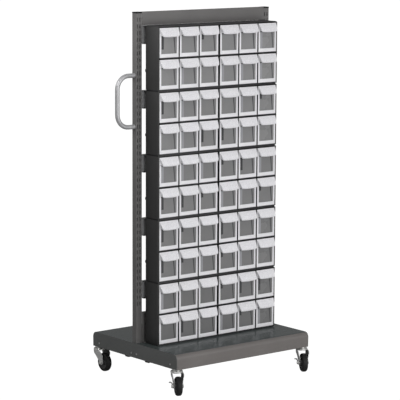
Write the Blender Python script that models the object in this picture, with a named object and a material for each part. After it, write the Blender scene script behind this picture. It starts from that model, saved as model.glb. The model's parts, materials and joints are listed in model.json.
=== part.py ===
"""Mobile bin cart: five black cabinets of tip-out bins on a wheeled steel rack.

Units are metres, +Z is up and the bins face -Y. The origin is on the floor, in the
middle of the object's footprint.
"""
import math

import bmesh
import bpy
from mathutils import Matrix, Vector

MM = 0.001
GAP = 0.3 * MM                      # left between pieces that touch

# Casters
CASTER_HEIGHT = 97 * MM             # floor to the plate that the caster bolts to
CASTER_SIDE_INSET = 17 * MM         # swivel axis to the ends of the base
CASTER_EDGE_INSET = 22 * MM         # swivel axis to its front and rear edges
CASTER_TRAIL = 36 * MM
WHEEL_DIAMETER = 75 * MM
WHEEL_WIDTH = 28 * MM
TREAD_ROUNDING = 6 * MM
WHEEL_DISH = 3 * MM                 # depth of the recess in each side
WHEEL_RIM = 9 * MM
HUB_DIAMETER = 26 * MM
HUB_WIDTH = 31 * MM
AXLE_DIAMETER = 8 * MM
BOLT_HEAD_DIAMETER = 14 * MM
BOLT_HEAD_HEIGHT = 5 * MM
HEAD_DIAMETER = 36 * MM
HEAD_THICKNESS = 3 * MM
RACEWAY_DIAMETER = 30 * MM
RACEWAY_HEIGHT = 2 * MM
FORK_SHEET = 2.5 * MM
FORK_CLEAR_WIDTH = 34 * MM          # between the legs
FORK_CROWN_HEIGHT = 8 * MM
FORK_CROWN_DIAMETER = 49 * MM
FORK_LEG_ROOT = 14 * MM             # of a leg in the crown, either side of the swivel axis
FORK_LEG_FRONT = 34 * MM            # of a leg below the crown, ahead of the swivel axis
FORK_SHOULDER = 11 * MM             # below the crown, where a leg is widest
FORK_FOOT_RADIUS = 9 * MM
FORK_LEG_SWEEP = 1.7                # 1 for a straight rear edge, more for one that bulges
FORK_LEG_STEPS = 4
LEVER_SHEET = 2 * MM
LEVER_RADIUS = 8 * MM               # of the eye round the axle
LEVER_LENGTH = 19 * MM              # axle to tab
LEVER_TAB = 14 * MM                 # how far the tab stands out
LEVER_TAB_WIDTH = 9 * MM
LEVER_ANGLE = math.radians(52)      # of the arm above the horizontal
TURNED_SIDES = 24
BOLT_SIDES = 12

# Swivel angle of each caster at rest, and whether it has a brake
CASTERS = {
    "front_left": (-1, -1, math.radians(-28), True),
    "front_right": (1, -1, math.radians(-28), True),
    "rear_left": (-1, 1, math.radians(-2), False),
    "rear_right": (1, 1, math.radians(-12), False),
}

# Base tray
BASE_WIDTH = 680 * MM
BASE_DEPTH = 550 * MM
BASE_HEIGHT = 60 * MM
BASE_SHEET = 2 * MM
BASE_BEND = 16 * MM
BASE_BEND_STEPS = 4
CORNER_PLATE = 84 * MM
CORNER_PLATE_THICKNESS = 3 * MM
CROSSBAR_WIDTH = 28 * MM
CROSSBAR_SPACING = 130 * MM
CROSSBAR_SHIFT = 17 * MM            # middle of the pair, ahead of the uprights
CROSSBAR_DROP = 5 * MM              # below the skirt
CROSSBAR_SHEET = 2 * MM

# Rack
UPRIGHT_SIZE = 28 * MM
UPRIGHT_WALL = 2 * MM
UPRIGHT_FOOT = 4 * MM               # above the lower edge of the skirt
CAP_THICKNESS = 2.5 * MM
CAP_PLUG = 12 * MM
HEADER_HEIGHT = 52 * MM
HEADER_FLANGE = 20 * MM
RAIL_HEIGHT = 72 * MM
KICK_HEIGHT = 125 * MM
PANEL_SHEET = 2 * MM
CABINET_STANDOFF = 13 * MM          # upright face to cabinet back

# Push handle
HANDLE_HEIGHT = 1117 * MM           # floor to the middle of the grip
HANDLE_SPACING = 200 * MM
HANDLE_REACH = 81.5 * MM            # upright face to the middle of the grip
HANDLE_TUBE = 18 * MM
HANDLE_BEND = 52 * MM
HANDLE_BEND_STEPS = 6

# Bins, in a frame with its origin on the hinge axis and the front towards -Y
BIN_WIDTH = 95 * MM
BIN_HEIGHT = 116.7 * MM
BIN_WALL = 2 * MM
BIN_FRONT_WALL = 5 * MM
BIN_BACK_HEIGHT = 86 * MM           # above the hinge
BIN_HEEL = 4 * MM                   # chamfer at the lower rear edge
BEAD_RADIUS = 3 * MM
BEAD_SEAT = 0.5 * MM                # bead to shelf
HINGE_SETBACK = 5 * MM              # behind the bin's front face
FRONT_EDGE_DROP = 1.5 * MM          # lower edge of the front, below the hinge
HOOD_WIDTH = 79 * MM
HOOD_STRIP = 2 * MM                 # plain edge above the hood
HOOD_DROP = 30 * MM                 # top of the hood to its lip
HOOD_REACH = 17 * MM
HOOD_LIP = 2.5 * MM
HOOD_RISE = 5 * MM                  # of its underside, from the front of the bin to the lip
HOOD_WALL = 2.5 * MM
HOOD_ROOT = 1 * MM                  # sunk into the front of the bin
WINDOW_SIDE = 8 * MM
WINDOW_FOOT = 14 * MM
WINDOW_DEPTH = 2 * MM

# Cabinets
CABINETS = 5
ROWS = 2
COLUMNS = 6
SINGLE_BIN_CABINET = 3              # counted from the top; its bins are separate
CABINET_DEPTH = 80 * MM
CABINET_WALL = 3.6 * MM             # top and bottom
SIDE_WALL = 3.5 * MM
BACK_WALL = 2 * MM
SHELF = 2 * MM
DIVIDER = 4 * MM
DIVIDER_SETBACK = 11 * MM
BIN_PROUD = 1 * MM                  # front of a bin ahead of the cabinet
BIN_GAP = 4 * MM                    # between columns
MIDDLE_GAP = 8 * MM                 # at the divider
SIDE_ROOM = 1.5 * MM
HEAD_ROOM = 1.9 * MM
REAR_ROOM = 4 * MM                  # back of a bin to the back wall
ROD_RADIUS = 2.4 * MM               # ties the bins of a joined row
SPACER = (12 * MM, 5 * MM, 10 * MM)
SPACER_HEIGHT = 71 * MM             # above the cabinet's bottom

# Worked out from the sizes above
DECK_Z = CASTER_HEIGHT + BASE_HEIGHT
HINGE_RISE = BEAD_SEAT + BEAD_RADIUS
ROW_OPENING = HINGE_RISE - FRONT_EDGE_DROP + BIN_HEIGHT + HEAD_ROOM
CABINET_HEIGHT = 2 * CABINET_WALL + (ROWS - 1) * SHELF + ROWS * ROW_OPENING
CABINET_WIDTH = COLUMNS * BIN_WIDTH + (COLUMNS - 2) * BIN_GAP + MIDDLE_GAP + 2 * (SIDE_ROOM + SIDE_WALL)
CABINET_BACK_Y = -UPRIGHT_SIZE / 2 - CABINET_STANDOFF
CABINET_FRONT_Y = CABINET_BACK_Y - CABINET_DEPTH
HINGE_Y = CABINET_FRONT_Y - BIN_PROUD + HINGE_SETBACK
BIN_DEPTH = CABINET_DEPTH + BIN_PROUD - BACK_WALL - REAR_ROOM
STACK_TOP_Z = DECK_Z + CABINETS * (CABINET_HEIGHT + GAP)
TOP_Z = STACK_TOP_Z + GAP + HEADER_HEIGHT
UPRIGHT_X = BASE_WIDTH / 2 - BASE_SHEET - 2 * GAP - UPRIGHT_SIZE / 2
SPAN = 2 * UPRIGHT_X - UPRIGHT_SIZE - 2 * GAP
AXLE_Z = WHEEL_DIAMETER / 2
LEG_X = FORK_CLEAR_WIDTH / 2 + FORK_SHEET
CROWN_TOP = CASTER_HEIGHT - HEAD_THICKNESS - RACEWAY_HEIGHT - GAP
CROWN_LOW = CROWN_TOP - FORK_CROWN_HEIGHT
BORE_RADIUS = AXLE_DIAMETER / 2 + GAP


def clear_scene():
    for old in list(bpy.data.objects):
        bpy.data.objects.remove(old, do_unlink=True)


def finish(name, colour, roughness, metallic):
    material = bpy.data.materials.new(name)
    material.use_nodes = True
    shader = material.node_tree.nodes["Principled BSDF"]
    shader.inputs["Base Color"].default_value = (*colour, 1.0)
    shader.inputs["Roughness"].default_value = roughness
    shader.inputs["Metallic"].default_value = metallic
    return material


def add_object(name, data, material, parent, location=(0.0, 0.0, 0.0)):
    item = bpy.data.objects.new(name, data)
    bpy.context.scene.collection.objects.link(item)
    data.materials.append(material)
    item.parent = parent
    item.location = location
    return item


def add_mesh(name, bm, material, parent, location=(0.0, 0.0, 0.0), smooth=False):
    bmesh.ops.recalc_face_normals(bm, faces=bm.faces)
    mesh = bpy.data.meshes.new(name)
    bm.to_mesh(mesh)
    bm.free()
    if smooth:
        mesh.shade_smooth()
        mesh.set_sharp_from_angle(angle=math.radians(35))
    return add_object(name, mesh, material, parent, location)


def add_empty(name, parent, location, turn=0.0):
    empty = bpy.data.objects.new(name, None)
    bpy.context.scene.collection.objects.link(empty)
    empty.parent = parent
    empty.location = location
    empty.rotation_euler = (0.0, 0.0, turn)
    return empty


def combine(item, bm, operation):
    """Join or cut an object with the closed shapes in a bmesh, which stay as a hidden guide."""
    bmesh.ops.recalc_face_normals(bm, faces=bm.faces)
    mesh = bpy.data.meshes.new(item.name + "_" + operation.lower())
    bm.to_mesh(mesh)
    bm.free()
    guide = bpy.data.objects.new(mesh.name, mesh)
    bpy.context.scene.collection.objects.link(guide)
    guide.parent = item
    guide.hide_render = True
    guide.display_type = "WIRE"
    modifier = item.modifiers.new(operation.title(), "BOOLEAN")
    modifier.operation = operation
    modifier.solver = "EXACT"
    modifier.object = guide


def add_box(bm, low, high):
    low = Vector(low)
    high = Vector(high)
    place = Matrix.Translation((low + high) / 2) @ Matrix.Diagonal((*(high - low), 1.0))
    bmesh.ops.create_cube(bm, size=1.0, matrix=place)


def add_prism(bm, outline, start_x, end_x):
    """Push a closed outline of (y, z) points from one x to another; gives the faces between the ends."""
    loops = []
    for x in (start_x, end_x):
        loops.append([bm.verts.new((x, y, z)) for y, z in outline])
    sides = []
    for index in range(len(outline)):
        after = (index + 1) % len(outline)
        corners = (loops[0][index], loops[0][after], loops[1][after], loops[1][index])
        sides.append(bm.faces.new(corners))
    for loop in loops:
        bm.faces.new(loop)
    bmesh.ops.recalc_face_normals(bm, faces=bm.faces)
    return sides


def add_turned(bm, profile, sides, axis, centre=(0.0, 0.0, 0.0), closed=False):
    """Spin (radius, along) points once round the X or Z axis through a centre."""
    points = []
    for radius, along in profile:
        place = (along, radius, 0.0) if axis == "X" else (radius, 0.0, along)
        points.append(bm.verts.new(Vector(place) + Vector(centre)))
    pairs = list(zip(points, points[1:]))
    if closed:
        pairs.append((points[-1], points[0]))
    edges = [bm.edges.new(pair) for pair in pairs]
    direction = (1.0, 0.0, 0.0) if axis == "X" else (0.0, 0.0, 1.0)
    spun = points + edges
    bmesh.ops.spin(bm, geom=spun, cent=centre, axis=direction, angle=math.tau, steps=sides)
    bmesh.ops.remove_doubles(bm, verts=bm.verts, dist=0.01 * MM)


def sink(bm, face, margin):
    """Sink a pocket into a face: inset it, then give it walls; returns the pocket's floor vertices."""
    bmesh.ops.inset_region(bm, faces=[face], thickness=margin)
    floor = bmesh.ops.extrude_discrete_faces(bm, faces=[face])["faces"][0]
    return list(floor.verts)


def channel(height, depth, sheet):
    """Outline of a C-shaped section, its web on y = 0 and its flanges towards +y."""
    return [
        (0, 0), (depth, 0), (depth, sheet), (sheet, sheet),
        (sheet, height - sheet), (depth, height - sheet), (depth, height), (0, height),
    ]


def build_base(parent, paint):
    low_z = CASTER_HEIGHT
    half_x = BASE_WIDTH / 2
    half_y = BASE_DEPTH / 2
    bm = bmesh.new()
    add_box(bm, (-half_x, -half_y, low_z), (half_x, half_y, DECK_Z))
    middle_z = low_z + BASE_HEIGHT / 2
    underside = [f for f in bm.faces if f.calc_center_median().z < middle_z and abs(f.normal.z) > 0.5]
    bmesh.ops.delete(bm, geom=underside, context="FACES_ONLY")
    rim = [e for e in bm.edges if all(v.co.z > middle_z for v in e.verts)]
    bends = [e for e in rim if abs(e.verts[0].co.x - e.verts[1].co.x) > half_x]
    bmesh.ops.bevel(bm, geom=bends, offset=BASE_BEND, segments=BASE_BEND_STEPS, profile=0.5, affect="EDGES")
    base = add_mesh("base_tray", bm, paint, parent, smooth=True)
    sheet = base.modifiers.new("Sheet", "SOLIDIFY")
    sheet.thickness = BASE_SHEET
    sheet.offset = -1.0
    sheet.use_even_offset = True

    plates = bmesh.new()
    overlap = BASE_SHEET / 2
    for side_x in (-1, 1):
        for side_y in (-1, 1):
            outer = (side_x * (half_x - overlap), side_y * (half_y - overlap))
            inner = (side_x * (half_x - CORNER_PLATE), side_y * (half_y - CORNER_PLATE))
            low = (min(outer[0], inner[0]), min(outer[1], inner[1]), low_z + GAP)
            high = (max(outer[0], inner[0]), max(outer[1], inner[1]), low_z + CORNER_PLATE_THICKNESS)
            add_box(plates, low, high)
    combine(base, plates, "UNION")

    holes = bmesh.new()
    reach = UPRIGHT_SIZE / 2 + GAP
    for side in (-1, 1):
        low = (side * UPRIGHT_X - reach, -reach, DECK_Z - BASE_HEIGHT / 2)
        high = (side * UPRIGHT_X + reach, reach, DECK_Z + BASE_HEIGHT)
        add_box(holes, low, high)
    combine(base, holes, "DIFFERENCE")


def build_crossbars(parent, paint):
    length = BASE_WIDTH - 2 * (BASE_SHEET + GAP)
    top = DECK_Z - BASE_SHEET - GAP
    height = top - (CASTER_HEIGHT - CROSSBAR_DROP)
    sheet = CROSSBAR_SHEET
    half = CROSSBAR_WIDTH / 2
    section = [
        (-half, -height), (half, -height), (half, 0), (half - sheet, 0),
        (half - sheet, sheet - height), (sheet - half, sheet - height), (sheet - half, 0), (-half, 0),
    ]
    for name, side in (("front", -1), ("rear", 1)):
        bm = bmesh.new()
        add_prism(bm, section, -length / 2, length / 2)
        place = (0, side * CROSSBAR_SPACING / 2 - CROSSBAR_SHIFT, top)
        add_mesh("base_" + name + "_crossbar", bm, paint, parent, place)


def build_uprights(parent, paint, plastic):
    foot = CASTER_HEIGHT + UPRIGHT_FOOT
    length = TOP_Z - CAP_THICKNESS - GAP - foot
    half = UPRIGHT_SIZE / 2
    bore = half - UPRIGHT_WALL
    plug = bore - GAP
    for name, side in (("left", -1), ("right", 1)):
        bm = bmesh.new()
        add_box(bm, (-half, -half, 0), (half, half, length))
        ends = [f for f in bm.faces if abs(f.normal.z) > 0.5]
        bmesh.ops.inset_individual(bm, faces=ends, thickness=half - bore)
        bmesh.ops.bridge_loops(bm, edges=list({e for f in ends for e in f.edges}))
        bmesh.ops.delete(bm, geom=ends, context="FACES_ONLY")
        place = (side * UPRIGHT_X, 0, foot)
        add_mesh(name + "_upright", bm, paint, parent, place)

        bm = bmesh.new()
        add_box(bm, (-half, -half, 0), (half, half, CAP_THICKNESS))
        below = [f for f in bm.faces if f.normal.z < -0.5]
        bmesh.ops.inset_individual(bm, faces=below, thickness=half - plug)
        bmesh.ops.translate(
            bm,
            vec=(0, 0, -CAP_PLUG),
            verts=bmesh.ops.extrude_discrete_faces(bm, faces=below)["faces"][0].verts,
        )
        place = (side * UPRIGHT_X, 0, TOP_Z - CAP_THICKNESS)
        add_mesh(name + "_upright_cap", bm, plastic, parent, place)


def build_panels(parent, paint):
    """Header, hanging rails and kick panel: folded channels between the uprights."""
    bm = bmesh.new()
    add_prism(bm, channel(HEADER_HEIGHT, HEADER_FLANGE, PANEL_SHEET), -SPAN / 2, SPAN / 2)
    add_mesh("header_panel", bm, paint, parent, (0, -UPRIGHT_SIZE / 2, TOP_Z - HEADER_HEIGHT))

    web_y = -UPRIGHT_SIZE / 2 + PANEL_SHEET
    depth = CABINET_STANDOFF + PANEL_SHEET - GAP
    heights = {"kick_panel": (DECK_Z + GAP, KICK_HEIGHT)}
    for index in range(CABINETS):
        top = STACK_TOP_Z - index * (CABINET_HEIGHT + GAP)
        heights[f"hanging_rail_{index + 1}"] = (top - RAIL_HEIGHT, RAIL_HEIGHT)
    for name, (low, height) in heights.items():
        section = [(-y, z) for y, z in channel(height, depth, PANEL_SHEET)]
        bm = bmesh.new()
        add_prism(bm, section, -SPAN / 2, SPAN / 2)
        add_mesh(name, bm, paint, parent, (0, web_y, low))


def build_handle(parent, steel):
    """One tube: two arms from the upright's side face, two bends and the grip."""
    straight = HANDLE_REACH - HANDLE_BEND
    half = HANDLE_SPACING / 2
    points = [(-GAP, half)]
    for sign in (1, -1):
        arc = []
        for step in range(HANDLE_BEND_STEPS + 1):
            angle = math.pi / 2 * step / HANDLE_BEND_STEPS
            x = -straight - HANDLE_BEND * math.sin(angle)
            z = half - HANDLE_BEND * (1 - math.cos(angle))
            arc.append((x, sign * z))
        points += arc if sign > 0 else arc[::-1]
    points.append((-GAP, -half))

    curve = bpy.data.curves.new("push_handle", "CURVE")
    curve.dimensions = "3D"
    curve.bevel_depth = HANDLE_TUBE / 2
    curve.bevel_resolution = 4
    curve.use_fill_caps = True
    spline = curve.splines.new("POLY")
    spline.points.add(len(points) - 1)
    for point, (x, z) in zip(spline.points, points):
        point.co = (x, 0, z, 1)
    face_x = -UPRIGHT_X - UPRIGHT_SIZE / 2
    add_object("push_handle", curve, steel, parent, (face_x, 0, HANDLE_HEIGHT))


def bin_x(column):
    """Middle of a column of bins; the two middle columns stand wider apart."""
    half = COLUMNS // 2
    pitch = BIN_WIDTH + BIN_GAP
    if column < half:
        return -MIDDLE_GAP / 2 - BIN_WIDTH / 2 - (half - 1 - column) * pitch
    return MIDDLE_GAP / 2 + BIN_WIDTH / 2 + (column - half) * pitch


def hinge_z(cabinet_low, row):
    """Height of the hinge of a row, counted from the cabinet's top row."""
    below = ROWS - 1 - row
    return cabinet_low + CABINET_WALL + below * (ROW_OPENING + SHELF) + HINGE_RISE


def hood_low():
    """Height, above the hinge, where a hood's underside meets the front of its bin."""
    return BIN_HEIGHT - FRONT_EDGE_DROP - HOOD_STRIP - HOOD_DROP - HOOD_LIP - HOOD_RISE


def add_bin(bm, centre_x):
    """One tip-out bin round the hinge axis: bead, tub and window recess."""
    front = -HINGE_SETBACK
    top = BIN_HEIGHT - FRONT_EDGE_DROP
    rear = front + BIN_DEPTH
    flat = BEAD_RADIUS * math.tan(math.pi / 8)
    outline = [
        (front, top), (front, hood_low()), (front, FRONT_EDGE_DROP),
        (-BEAD_RADIUS, -flat), (-flat, -BEAD_RADIUS), (flat, -BEAD_RADIUS), (BEAD_RADIUS, -flat),
        (rear - BIN_HEEL, -flat), (rear, BIN_HEEL - flat), (rear, BIN_BACK_HEIGHT),
        (front + BIN_WALL, top),
    ]
    half = BIN_WIDTH / 2
    sides = add_prism(bm, outline, centre_x - half, centre_x + half)
    window = sides[1]
    mouth = sides[9]

    for vertex in sink(bm, mouth, BIN_WALL):
        at_front = vertex.co.y < rear / 2
        vertex.co.y = front + BIN_FRONT_WALL if at_front else rear - BIN_WALL - BIN_HEEL
        vertex.co.z = BIN_WALL - flat

    for vertex in sink(bm, window, WINDOW_SIDE):
        vertex.co.y += WINDOW_DEPTH


def add_hood(bm, centre_x):
    """Pull hood on the front of a bin, open underneath."""
    front = -HINGE_SETBACK
    top = BIN_HEIGHT - FRONT_EDGE_DROP - HOOD_STRIP
    lip = top - HOOD_DROP
    tip = front - HOOD_REACH
    root = front + HOOD_ROOT
    outline = [
        (root, top), (front, top), (tip, lip), (tip, lip - HOOD_LIP), (front, hood_low()), (root, hood_low()),
    ]
    half = HOOD_WIDTH / 2
    underside = add_prism(bm, outline, centre_x - half, centre_x + half)[3]
    slope = HOOD_DROP / HOOD_REACH
    for vertex in sink(bm, underside, HOOD_WALL):
        vertex.co.z = top - slope * (front - vertex.co.y) - 2 * HOOD_WALL


def build_cabinet(index, parent, black, white):
    low = STACK_TOP_Z - index * (CABINET_HEIGHT + GAP) - CABINET_HEIGHT
    half = CABINET_WIDTH / 2
    bm = bmesh.new()
    add_box(bm, (-half, 0, 0), (half, CABINET_DEPTH, CABINET_HEIGHT))
    cabinet = add_mesh(f"cabinet_{index + 1}", bm, black, parent, (0, CABINET_FRONT_Y, low))

    rooms = bmesh.new()
    mouths = bmesh.new()
    for row in range(ROWS):
        floor = CABINET_WALL + row * (ROW_OPENING + SHELF)
        inside = half - SIDE_WALL
        back = CABINET_DEPTH - BACK_WALL
        for start, end in ((-inside, -DIVIDER / 2), (DIVIDER / 2, inside)):
            add_box(rooms, (start, -BIN_PROUD, floor), (end, back, floor + ROW_OPENING))
        setback = (DIVIDER, DIVIDER_SETBACK, floor + ROW_OPENING)
        add_box(mouths, (-setback[0], -BIN_PROUD, floor), setback)
    combine(cabinet, rooms, "DIFFERENCE")
    combine(cabinet, mouths, "DIFFERENCE")

    spacers = bmesh.new()
    width, depth, height = SPACER
    for side in (-1, 1):
        middle = side * (half - width)
        start = (middle - width / 2, CABINET_DEPTH - BACK_WALL / 2, SPACER_HEIGHT)
        add_box(spacers, start, (middle + width / 2, CABINET_DEPTH + depth, SPACER_HEIGHT + height))
    combine(cabinet, spacers, "UNION")

    for row in range(ROWS):
        name = f"bin_{index * ROWS + row + 1}"
        height = hinge_z(low, row)
        if index + 1 == SINGLE_BIN_CABINET:
            for column in range(COLUMNS):
                bm = bmesh.new()
                add_bin(bm, 0.0)
                place = (bin_x(column), HINGE_Y, height)
                one = add_mesh(f"{name}_{column + 1}", bm, white, parent, place)
                hood = bmesh.new()
                add_hood(hood, 0.0)
                combine(one, hood, "UNION")
            continue
        bm = bmesh.new()
        joined = bmesh.new()
        for column in range(COLUMNS):
            add_bin(bm, bin_x(column))
            add_hood(joined, bin_x(column))
        reach = bin_x(COLUMNS - 1) + BIN_WIDTH / 2 - BIN_WALL
        add_turned(joined, [(0, -reach), (ROD_RADIUS, -reach), (ROD_RADIUS, reach), (0, reach)], 8, "X")
        row_item = add_mesh(name + "_row", bm, white, parent, (0, HINGE_Y, height))
        combine(row_item, joined, "UNION")


def wheel_profile():
    """Closed (radius, along) outline of a wheel: bore, hub, dished side and rounded tread."""
    radius = WHEEL_DIAMETER / 2
    half = WHEEL_WIDTH / 2
    rim = radius - WHEEL_RIM
    dish = half - WHEEL_DISH
    one_side = [
        (BORE_RADIUS, HUB_WIDTH / 2), (HUB_DIAMETER / 2, HUB_WIDTH / 2), (HUB_DIAMETER / 2, dish),
        (rim, dish), (rim, half),
    ]
    for step in range(4):
        angle = math.pi / 2 * step / 3
        across = half - TREAD_ROUNDING + TREAD_ROUNDING * math.cos(angle)
        one_side.append((radius - TREAD_ROUNDING + TREAD_ROUNDING * math.sin(angle), across))
    return one_side + [(r, -along) for r, along in reversed(one_side)]


def fork_leg():
    """Outline of a fork leg, from the crown down round the axle."""
    top = CROWN_TOP - FORK_SHEET / 2
    outline = [
        (FORK_LEG_ROOT, top), (-FORK_LEG_ROOT, top), (-FORK_LEG_ROOT, CROWN_LOW),
        (-FORK_LEG_FRONT, CROWN_LOW), (-CASTER_TRAIL - FORK_FOOT_RADIUS, CROWN_LOW - FORK_SHOULDER),
    ]
    for step in range(7):
        angle = math.pi + math.pi * step / 6
        y = -CASTER_TRAIL + FORK_FOOT_RADIUS * math.cos(angle)
        outline.append((y, AXLE_Z + FORK_FOOT_RADIUS * math.sin(angle)))
    reach = FORK_LEG_ROOT + CASTER_TRAIL - FORK_FOOT_RADIUS
    for step in range(1, FORK_LEG_STEPS + 1):
        rise = step / FORK_LEG_STEPS
        y = FORK_LEG_ROOT - reach * (1 - rise) ** FORK_LEG_SWEEP
        outline.append((y, AXLE_Z + rise * (CROWN_LOW - AXLE_Z)))
    return outline


def build_caster(name, parent, zinc, rubber):
    side_x, side_y, turn, braked = CASTERS[name]
    place = (side_x * (BASE_WIDTH / 2 - CASTER_SIDE_INSET), side_y * (BASE_DEPTH / 2 - CASTER_EDGE_INSET), 0)
    swivel = add_empty(f"caster_{name}_swivel", parent, place, turn)

    head_top = CASTER_HEIGHT
    head_low = head_top - HEAD_THICKNESS
    race_low = head_low - RACEWAY_HEIGHT
    bm = bmesh.new()
    head_radius = HEAD_DIAMETER / 2
    race_radius = RACEWAY_DIAMETER / 2
    profile = [
        (0, head_top), (head_radius, head_top), (head_radius, head_low), (race_radius, head_low),
        (race_radius, race_low), (0, race_low),
    ]
    add_turned(bm, profile, TURNED_SIDES, "Z")
    add_mesh(f"caster_{name}_head", bm, zinc, swivel, smooth=True)

    crown_radius = FORK_CROWN_DIAMETER / 2
    inner_radius = crown_radius - FORK_SHEET
    ceiling = CROWN_TOP - FORK_SHEET
    profile = [
        (0, CROWN_TOP), (crown_radius, CROWN_TOP), (crown_radius, CROWN_LOW), (inner_radius, CROWN_LOW),
        (inner_radius, ceiling), (0, ceiling),
    ]
    bm = bmesh.new()
    add_turned(bm, profile, TURNED_SIDES, "Z")
    fork = add_mesh(f"caster_{name}_fork", bm, zinc, swivel)
    legs = bmesh.new()
    for side in (-1, 1):
        add_prism(legs, fork_leg(), side * (LEG_X - FORK_SHEET), side * LEG_X)
    combine(fork, legs, "UNION")
    bores = bmesh.new()
    reach = LEG_X + FORK_SHEET
    axle_at = (0, -CASTER_TRAIL, AXLE_Z)
    ends = [(0, -reach), (BORE_RADIUS, -reach), (BORE_RADIUS, reach), (0, reach)]
    add_turned(bores, ends, BOLT_SIDES, "X", axle_at)
    combine(fork, bores, "DIFFERENCE")

    near = -LEG_X - GAP - (LEVER_SHEET + GAP if braked else 0)
    far = LEG_X + GAP
    shank = AXLE_DIAMETER / 2
    knob = BOLT_HEAD_DIAMETER / 2
    profile = [
        (0, near - BOLT_HEAD_HEIGHT), (knob, near - BOLT_HEAD_HEIGHT), (knob, near), (shank, near),
        (shank, far), (knob, far), (knob, far + BOLT_HEAD_HEIGHT), (0, far + BOLT_HEAD_HEIGHT),
    ]
    bm = bmesh.new()
    add_turned(bm, profile, BOLT_SIDES, "X")
    add_mesh(f"caster_{name}_axle", bm, zinc, swivel, axle_at, smooth=True)

    bm = bmesh.new()
    add_turned(bm, wheel_profile(), TURNED_SIDES, "X", closed=True)
    add_mesh(f"caster_{name}_wheel", bm, rubber, swivel, axle_at, smooth=True)

    if braked:
        build_lever(name, swivel, axle_at, zinc)


def build_lever(name, swivel, axle_at, zinc):
    """Brake lever: an eye round the axle outside the leg, an arm and a tab that stands out."""
    inner = -LEG_X - GAP
    outer = inner - LEVER_SHEET
    along = Vector((math.cos(LEVER_ANGLE), math.sin(LEVER_ANGLE)))
    across = Vector((-along.y, along.x))
    half = LEVER_TAB_WIDTH / 2
    outline = [along * LEVER_LENGTH - across * half, along * LEVER_LENGTH + across * half]
    for step in range(9):
        angle = LEVER_ANGLE + math.pi / 2 + math.pi * step / 8
        outline.append(Vector((math.cos(angle), math.sin(angle))) * LEVER_RADIUS)
    bm = bmesh.new()
    add_prism(bm, outline, outer, inner)
    lever = add_mesh(f"caster_{name}_brake", bm, zinc, swivel, axle_at)

    tab = bmesh.new()
    ledge = [
        along * LEVER_LENGTH - across * half, along * LEVER_LENGTH + across * half,
        along * (LEVER_LENGTH + LEVER_SHEET) + across * half,
        along * (LEVER_LENGTH + LEVER_SHEET) - across * half,
    ]
    sunk = along * (LEVER_SHEET / 2)
    add_prism(tab, [point - sunk for point in ledge], outer - LEVER_TAB, inner - LEVER_SHEET / 4)
    combine(lever, tab, "UNION")
    eye = bmesh.new()
    reach = LEG_X + LEVER_TAB
    add_turned(eye, [(0, -reach), (BORE_RADIUS, -reach), (BORE_RADIUS, reach), (0, reach)], BOLT_SIDES, "X")
    combine(lever, eye, "DIFFERENCE")


def seat_on_origin(root):
    """Move the whole cart so that the origin is the bottom centre of its bounding box."""
    bpy.context.view_layer.update()
    depsgraph = bpy.context.evaluated_depsgraph_get()
    corners = []
    for item in bpy.context.scene.objects:
        if item.type == "EMPTY" or item.hide_render:
            continue
        shaped = item.evaluated_get(depsgraph)
        mesh = shaped.to_mesh()
        corners += [item.matrix_world @ vertex.co for vertex in mesh.vertices]
        shaped.to_mesh_clear()
    low = Vector(min(point[axis] for point in corners) for axis in range(3))
    high = Vector(max(point[axis] for point in corners) for axis in range(3))
    root.location = (-(low.x + high.x) / 2, -(low.y + high.y) / 2, -low.z)


def main():
    clear_scene()
    paint = finish("dark_grey_paint", (0.085, 0.085, 0.085), 0.45, 0.0)
    black = finish("black_plastic", (0.018, 0.018, 0.019), 0.5, 0.0)
    white = finish("white_plastic", (0.78, 0.78, 0.80), 0.4, 0.0)
    zinc = finish("zinc_plate", (0.55, 0.56, 0.57), 0.35, 1.0)
    steel = finish("satin_steel", (0.60, 0.61, 0.62), 0.3, 1.0)
    rubber = finish("black_rubber", (0.015, 0.015, 0.015), 0.7, 0.0)

    cart = add_empty("cart", None, (0, 0, 0))
    build_base(cart, paint)
    build_crossbars(cart, paint)
    build_uprights(cart, paint, black)
    build_panels(cart, paint)
    build_handle(cart, steel)
    for index in range(CABINETS):
        build_cabinet(index, cart, black, white)
    for name in CASTERS:
        build_caster(name, cart, zinc, rubber)
    seat_on_origin(cart)


main()
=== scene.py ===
"""Mobile bin cart in a plain studio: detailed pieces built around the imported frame."""
import json
import math
import random

import bmesh
import bpy
from mathutils import Matrix, Vector


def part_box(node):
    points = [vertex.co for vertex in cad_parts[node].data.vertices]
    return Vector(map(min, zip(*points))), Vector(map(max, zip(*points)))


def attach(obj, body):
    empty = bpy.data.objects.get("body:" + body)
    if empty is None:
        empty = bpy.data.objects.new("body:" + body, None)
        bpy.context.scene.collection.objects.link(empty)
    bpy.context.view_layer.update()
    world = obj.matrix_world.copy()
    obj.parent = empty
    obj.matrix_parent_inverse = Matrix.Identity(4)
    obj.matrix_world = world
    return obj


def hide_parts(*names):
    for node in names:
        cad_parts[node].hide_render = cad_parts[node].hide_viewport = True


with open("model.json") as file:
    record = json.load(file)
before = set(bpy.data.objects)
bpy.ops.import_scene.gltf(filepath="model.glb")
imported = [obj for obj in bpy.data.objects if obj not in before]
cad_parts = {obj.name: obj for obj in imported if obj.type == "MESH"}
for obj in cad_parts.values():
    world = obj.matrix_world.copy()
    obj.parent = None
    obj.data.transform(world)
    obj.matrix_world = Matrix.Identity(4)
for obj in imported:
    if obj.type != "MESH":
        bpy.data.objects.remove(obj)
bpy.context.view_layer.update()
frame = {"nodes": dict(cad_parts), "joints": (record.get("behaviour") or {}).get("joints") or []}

MM = 0.001
WELD = 0.005 * MM                   # points closer than this become one
LEVEL = 0.01 * MM                   # places closer than this count as the same
JOINTS = {joint["name"]: joint for joint in frame["joints"]}
BASE_LOW, BASE_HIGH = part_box("base_tray")
BASE_CENTRE = (BASE_LOW + BASE_HIGH) / 2
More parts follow.
